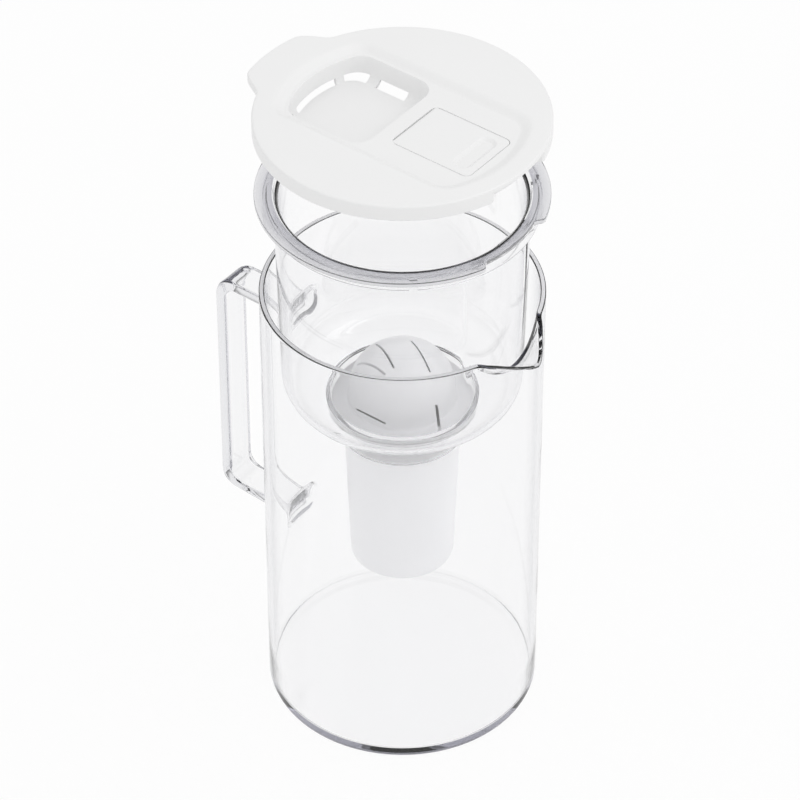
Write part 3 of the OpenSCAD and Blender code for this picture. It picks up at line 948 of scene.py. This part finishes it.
def off_handle(angle):
    return 180 - abs(angle)


def tab_radius(angle):
    """The lid's outer radius with its tab, at an angle from the spout."""
    return LID_R + (TAB_REACH - LID_R) * smoothstep(*TAB_ANGLES, off_handle(angle))


def plate_low(angle):
    """The underside of the lid's edge: deeper at the tab than at the spout."""
    return LID_H - PLATE_T - (TAB_T - PLATE_T) * smoothstep(*THICK_ANGLES, off_handle(angle))


def skirt_radius(angle):
    """The skirt's radius, set back at the spout."""
    return LID_R - (LID_R - INSET_R) * smoothstep(INSET_HALF_ANGLE + 1.2, INSET_HALF_ANGLE - 1.2, abs(angle))


def rim_ring(bm, radius, height, inset=0.0):
    """A ring round the lid with a radius and a height that depend on the angle from the spout."""
    points = []
    for step in range(360):
        angle = step - 179.5
        reach = radius(angle) - inset
        turn = math.radians(angle)
        z = height(angle) if callable(height) else height
        points.append((reach * math.cos(turn), reach * math.sin(turn), LID_Z + z))
    return ring(bm, points)


def lid_sheet():
    """The lid's top as one sheet: skirt, edge, top, recess and slotted basin, open for the flap."""
    bm = bmesh.new()
    floor = LID_H - RECESS_DEPTH
    edge = [rim_ring(bm, tab_radius, LID_H, 3), rim_ring(bm, tab_radius, LID_H, LID_EDGE)]
    for angle in range(15, 91, 15):
        turn = math.radians(angle)
        inset = LID_EDGE * (1 - math.sin(turn))
        edge.append(rim_ring(bm, tab_radius, LID_H - LID_EDGE * (1 - math.cos(turn)), inset))
    edge += [rim_ring(bm, tab_radius, plate_low), rim_ring(bm, skirt_radius, plate_low)]
    edge += [rim_ring(bm, skirt_radius, 0.4), rim_ring(bm, skirt_radius, 0, 0.3)]
    bridged(bm, edge)

    slope = [recess_ring(bm, 0, floor, spare=-0.5)]
    slope += [recess_ring(bm, share, floor + rise) for share, rise in blended(8, RECESS_DEPTH)]
    slope.append(recess_ring(bm, 1, LID_H, spare=1.5))
    bridged(bm, slope)
    filled(bm, edge[0], slope[-1])

    deep = floor - BASIN_DEPTH
    wall = [basin_ring(bm, 0, floor, spare=0.25)]
    wall += [basin_ring(bm, 0, floor - 0.15, spare=0.05), basin_ring(bm, 0.03, floor - 0.6)]
    wall += [basin_ring(bm, 0.2, floor - 4), basin_ring(bm, 0.3, floor - 6)]
    wall += [basin_ring(bm, 0.42, deep + SLOT_RISE), basin_ring(bm, 0.6, deep + 1.3)]
    wall += [basin_ring(bm, 0.8, deep + 0.5), basin_ring(bm, 1.02, deep + 0.1)]
    wall += [basin_ring(bm, 1.02, deep, spare=-0.6), basin_ring(bm, 1.02, deep, spare=-1.2)]
    bridged(bm, wall)
    filled(bm, wall[-1])

    gap = FLAP_GAP
    opening = round_box(FLAP_BACK - HINGE_GAP, FLAP_FRONT + gap, FLAP_HALF_W + gap, FLAP_CORNER + gap)
    rim = [ring(bm, at_height(opening, LID_Z + floor - 0.35))]
    for spare, z in ((0.05, -0.2), (0.15, -0.06), (0.35, 0), (0.8, 0)):
        wider = gap + spare
        outline = round_box(
            FLAP_BACK - HINGE_GAP - spare, FLAP_FRONT + wider, FLAP_HALF_W + wider, FLAP_CORNER + wider
        )
        rim.append(ring(bm, at_height(outline, LID_Z + floor + z)))
    bridged(bm, rim)
    filled(bm, slope[0], wall[0], rim[-1])

    bmesh.ops.remove_doubles(bm, verts=bm.verts, dist=0.0005)
    cut_basin_slots(bm, deep)
    bmesh.ops.recalc_face_normals(bm, faces=bm.faces)
    top = max(bm.faces, key=lambda face: face.calc_area())
    if top.normal.z < 0:
        bmesh.ops.reverse_faces(bm, faces=bm.faces)
    bmesh.ops.solidify(bm, geom=bm.faces, thickness=LID_SHEET)
    return bm


def cut_basin_slots(bm, deep):
    """Takes out the slots that run along the foot of the basin's wall, with ends cut square to it."""
    low = LID_Z + deep

    def on_band(point):
        return low + 0.02 < point.z < low + SLOT_RISE and point.x < -10

    bearings = [math.radians(turn) for turn in SLOT_BEARINGS]
    planes = [((math.sin(turn), math.cos(turn), 0), 0) for turn in bearings]
    planes += [((math.sin(turn), -math.cos(turn), 0), 0) for turn in bearings]
    planes += [((1, 0, 0), x) for x in SLOT_ENDS]
    for normal, place in planes:
        slice_faces(bm, on_band, Vector(normal) * place, normal)
    gone = []
    for face in bm.faces:
        point = face.calc_center_median()
        bearing = math.degrees(math.atan2(abs(point.y), -point.x))
        on_end = bearing < SLOT_BEARINGS[0] and point.x < -40
        on_corner = bearing > SLOT_BEARINGS[1] and point.x < SLOT_ENDS[0]
        on_side = abs(point.y) > 19 and SLOT_ENDS[1] < point.x < SLOT_ENDS[2]
        if on_band(point) and (on_end or on_corner or on_side):
            gone.append(face)
    bmesh.ops.delete(bm, geom=gone, context="FACES")


def plug_ring():
    """The ring under the lid that centres it in the funnel, cut away at the funnel's flat."""
    low = LID_Z - PLUG_DEPTH
    high = LID_Z + 4.5
    profile = [(PLUG_IN, low), (PLUG_R - 0.3, low), (PLUG_R, low + 0.3), (PLUG_R, high), (PLUG_IN, high)]
    bm = turned(profile, 180, closed=True)
    flat = FLAT_X - FUNNEL_WALL - PLUG_GAP
    geom = list(bm.verts) + list(bm.edges) + list(bm.faces)
    bmesh.ops.bisect_plane(bm, geom=geom, plane_co=(flat, 0, 0), plane_no=(1, 0, 0), clear_outer=True)
    bmesh.ops.holes_fill(bm, edges=[edge for edge in bm.edges if edge.is_boundary])
    return bm


def flap_frame():
    """The frame under the flap's opening: a ledge that the flap rests on and a short chute below it."""
    bm = bmesh.new()
    floor = LID_H - RECESS_DEPTH
    ledge = floor - FLAP_T - 0.2
    foot = FLAP_TOP - BARREL_R - 6.5
    frame_low = FLAP_TOP - 2 * BARREL_R - 1.5
    levels = [
        (FLAP_GAP, floor - 0.5), (FLAP_GAP, ledge), (-4, ledge), (-4, foot), (-2.2, foot),
        (-2.2, frame_low), (2.6, frame_low), (3, frame_low + 0.4), (3, floor - 0.5),
    ]
    rings = []
    for spare, z in levels:
        corner = max(1.5, FLAP_CORNER + spare)
        back = FLAP_BACK - (HINGE_GAP if spare == FLAP_GAP else spare)
        outline = round_box(back, FLAP_FRONT + spare, FLAP_HALF_W + spare, corner)
        rings.append(ring(bm, at_height(outline, LID_Z + z)))
    bridged(bm, rings + rings[:1])
    # The ledge steps down at the hinge, where the flap's barrel turns
    for vert in bm.verts:
        if vert.co.x < FLAP_BACK + 2 * BARREL_R + 1.5 and abs(vert.co.z - LID_Z - ledge) < 0.01:
            vert.co.z = LID_Z + FLAP_TOP - 2 * BARREL_R - FLAP_GAP
    bmesh.ops.recalc_face_normals(bm, faces=bm.faces)
    return bm


def make_lid(material):
    bm = joined([lid_sheet(), plug_ring(), flap_frame()])
    return finished(bm, "white_lid_moulding", [material], "lid", ["lid_shell"], sharp=28)


def flap_panel():
    """The flap's panel with soft edges and a long dished finger recess near its free edge."""
    bm = bmesh.new()
    back = FLAP_BACK + BARREL_R
    top = LID_Z + FLAP_TOP
    soft = 0.45
    sides = []
    for inset, z in ((0, -FLAP_T), (0, -soft), (0.06, -0.22), (0.22, -0.06), (soft, 0), (1.2, 0)):
        outline = round_box(back - 1 + inset, FLAP_FRONT - inset, FLAP_HALF_W - inset, FLAP_CORNER - inset)
        outline = [(max(x, back), y) for x, y in outline]
        sides.append(ring(bm, at_height(outline, top + z)))
    bridged(bm, sides)
    filled(bm, sides[0])
    finger_x = FLAP_FRONT - FINGER_BACK
    dish = []
    for share, sink in [(-0.4, 0)] + blended(6, FINGER_DEPTH) + [(1.4, FINGER_DEPTH)]:
        grown = FINGER_HALF_W - FINGER_SLOPE * share
        outline = round_box(finger_x - grown, finger_x + grown, FINGER_HALF_L + grown, grown - 0.1, 8)
        dish.append(ring(bm, at_height(outline, top - sink)))
    bridged(bm, dish)
    filled(bm, dish[-1])
    filled(bm, sides[-1], dish[0])
    bmesh.ops.remove_doubles(bm, verts=bm.verts, dist=0.0005)
    bmesh.ops.recalc_face_normals(bm, faces=bm.faces)
    return bm


def flap_barrel():
    """The round hinged edge of the flap, flush with the flap's top and with soft ends."""
    soft = 1.0
    half = FLAP_HALF_W
    profile = [(0, -half)] + arc((KNUCKLE_R - soft, soft - half), soft, -90, 0, 4)
    profile += arc((KNUCKLE_R - soft, half - soft), soft, 0, 90, 4) + [(0, half)]
    bm = turned(profile, 64)
    bmesh.ops.rotate(bm, verts=bm.verts, matrix=Matrix.Rotation(math.pi / 2, 3, "X"))
    centre = (FLAP_BACK + BARREL_R, 0, LID_Z + FLAP_TOP - BARREL_R)
    bmesh.ops.translate(bm, verts=bm.verts, vec=centre)
    geom = list(bm.verts) + list(bm.edges) + list(bm.faces)
    top = (0, 0, LID_Z + FLAP_TOP - 0.02)
    bmesh.ops.bisect_plane(bm, geom=geom, plane_co=top, plane_no=(0, 0, 1), clear_outer=True)
    bmesh.ops.holes_fill(bm, edges=[edge for edge in bm.edges if edge.is_boundary])
    return bm


def make_flap(material):
    bm = joined([flap_panel(), flap_barrel()])
    return finished(bm, "white_flip_flap", [material], "flap", ["flap_panel"], sharp=28)


# Stage


def make_stage():
    """A pale floor, white to the eye, in reflections and through clear plastic, and plain to the light."""
    bm = bmesh.new()
    bmesh.ops.create_grid(bm, x_segments=1, y_segments=1, size=FLOOR_HALF)
    mesh = bpy.data.meshes.new("floor")
    bm.to_mesh(mesh)
    bm.free()
    floor = bpy.data.objects.new("floor", mesh)
    floor.location.z = -FLOOR_SINK
    bpy.context.scene.collection.objects.link(floor)
    material, tree = new_material("pale_floor")
    path = add(tree, "ShaderNodeLightPath")
    seen = add(
        tree,
        "ShaderNodeMath",
        {"operation": "MAXIMUM"},
        {0: path.outputs["Is Camera Ray"], 1: path.outputs["Is Glossy Ray"]},
    )
    seen = add(
        tree,
        "ShaderNodeMath",
        {"operation": "MAXIMUM"},
        {0: seen.outputs[0], 1: path.outputs["Is Transmission Ray"]},
    )
    share = add(tree, "ShaderNodeMath", {"operation": "MULTIPLY"}, {0: seen.outputs[0], 1: FLOOR_GLOW})
    pale = add(tree, "ShaderNodeBsdfDiffuse", inputs={"Color": linear("#F4F4F4")})
    white = add(tree, "ShaderNodeEmission", inputs={"Color": (1, 1, 1, 1), "Strength": 1.0})
    shaders = {0: share.outputs[0], 1: pale.outputs[0], 2: white.outputs[0]}
    mix = add(tree, "ShaderNodeMixShader", inputs=shaders)
    add(tree, "ShaderNodeOutputMaterial", inputs={"Surface": mix.outputs[0]})
    mesh.materials.append(material)


def make_light():
    """A plain white room that clear plastic sees darken towards the horizon, and one soft lamp."""
    world = bpy.data.worlds.new("studio")
    bpy.context.scene.world = world
    world.use_nodes = True
    tree = world.node_tree
    tree.nodes.clear()
    place = add(tree, "ShaderNodeTexCoord")
    split = add(tree, "ShaderNodeSeparateXYZ", inputs={0: place.outputs["Generated"]})
    ramp = add(
        tree,
        "ShaderNodeMapRange",
        {"interpolation_type": "SMOOTHSTEP"},
        {"Value": split.outputs["Z"], "From Max": 0.5, "To Min": HORIZON, "To Max": WALLS},
    )
    # The walls of the room are a little brighter than its ceiling
    walls = add(
        tree,
        "ShaderNodeMapRange",
        inputs={"Value": split.outputs["Z"], "To Min": WALLS, "To Max": CEILING},
    )
    seen_room = add(tree, "ShaderNodeBackground", inputs={"Color": (1, 1, 1, 1), "Strength": ramp.outputs[0]})
    backdrop = add(tree, "ShaderNodeBackground", inputs={"Color": (1, 1, 1, 1), "Strength": 1.0})
    path = add(tree, "ShaderNodeLightPath")
    # Light that reaches the filter through the clear walls makes up for what they take
    filled = add(
        tree,
        "ShaderNodeMath",
        {"operation": "MULTIPLY_ADD"},
        {0: path.outputs["Is Transmission Ray"], 1: FILL, 2: walls.outputs[0]},
    )
    room = add(tree, "ShaderNodeBackground", inputs={"Color": (1, 1, 1, 1), "Strength": filled.outputs[0]})
    seen = add(
        tree,
        "ShaderNodeMath",
        {"operation": "MAXIMUM"},
        {0: path.outputs["Is Glossy Ray"], 1: path.outputs["Is Transmission Ray"]},
    )
    # What lights the object's own surfaces is the plain room, also where it comes through clear plastic
    onward = add(
        tree, "ShaderNodeMath", {"operation": "LESS_THAN"}, {0: path.outputs["Diffuse Depth"], 1: 0.5}
    )
    seen = add(tree, "ShaderNodeMath", {"operation": "MULTIPLY"}, {0: seen.outputs[0], 1: onward.outputs[0]})
    mix = add(
        tree, "ShaderNodeMixShader", inputs={0: seen.outputs[0], 1: room.outputs[0], 2: seen_room.outputs[0]}
    )
    mix = add(
        tree,
        "ShaderNodeMixShader",
        inputs={0: path.outputs["Is Camera Ray"], 1: mix.outputs[0], 2: backdrop.outputs[0]},
    )
    add(tree, "ShaderNodeOutputWorld", inputs={"Surface": mix.outputs[0]})
    lamp = bpy.data.lights.new("softbox", "AREA")
    lamp.shape = "RECTANGLE"
    lamp.size = LAMP_SIZE
    lamp.size_y = LAMP_SIZE
    lamp.energy = LAMP_POWER
    box = bpy.data.objects.new("softbox", lamp)
    box.location = LAMP_PLACE
    box.rotation_euler = (Vector(LAMP_AIM) - Vector(LAMP_PLACE)).to_track_quat("-Z", "Y").to_euler()
    bpy.context.scene.collection.objects.link(box)


photograph_camera()
make_stage()
make_light()

clear_jug = clear_plastic("clear_jug_san", "#D6D6DC", 26)
clear_strap = clear_plastic("clear_handle_san", "#D0D0D6", 26)
pale_edge = ground_edge("ground_san_edge")
# The funnel's flange gets a frosted band with painted grey shade
clear_funnel = clear_plastic("clear_funnel_san", "#D6D6DC", 30, frosted_shaded_flange=True)
# ABS, satin from a finely etched mould: soft broad highlights and a barely visible grain
white_lid = moulded_plastic("white_lid_abs", ("#F4F4F4", "#F1F1F1"), 0.42, 0.7, 0.004)
# Polypropylene, smoother and a little waxy: brighter glints on its shoulders
grey_filter = moulded_plastic("filter_polypropylene", ("#FAFAFB", "#F6F6F8"), 0.3, 0.9, 0.004)
# Silicone rubber, dull and soft: no clear highlight
seal_rubber = moulded_plastic("seal_silicone", ("#CFCFCF", "#C6C6C6"), 0.62, 0.5, 0.006)
# Needled polyester fleece: a loose fibre relief and no gloss
fleece = moulded_plastic("screen_fleece", ("#E2E2E0", "#CFCFCC"), 0.85, 0.45, 0.08)
# Crushed coconut-shell carbon: near-black grains of about a millimetre, with a dull glint on each
carbon = granules("carbon_grains", ("#1A1A1B", "#343436"), 1.0, 0.5, 0.3)
# Ion-exchange resin: round amber beads, drawn as coarse as they need to show
resin = granules("resin_beads", ("#B98A45", "#D9B06A"), 0.8, 0.28, 0.3)
# Ground stainless steel wire: bright metal with fine turning marks
steel = moulded_plastic("pin_stainless_steel", ("#C9C9CC", "#BEBEC2"), 0.3, 0.15, 0.002, {"Metallic": 1.0})

make_jug([clear_jug, pale_edge])
make_handle(clear_strap)
make_funnel([clear_funnel, pale_edge])
make_dome(grey_filter)
make_housing(grey_filter)
make_lid(white_lid)
make_flap(white_lid)

looks = {
    "filter_seal": seal_rubber,
    "upper_screen": fleece,
    "carbon_bed": carbon,
    "middle_screen": fleece,
    "resin_bed": resin,
    "lower_screen": fleece,
    "outlet_grid": grey_filter,
    "flap_hinge_pin": steel,
}
for node, material in looks.items():
    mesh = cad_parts[node].data
    mesh.materials.clear()
    mesh.materials.append(material)

scene = bpy.context.scene
scene.view_settings.view_transform = "Standard"
scene.cycles.max_bounces = BOUNCES
scene.cycles.transmission_bounces = BOUNCES
scene.cycles.glossy_bounces = GLOSSY_BOUNCES
scene.cycles.transparent_max_bounces = BOUNCES
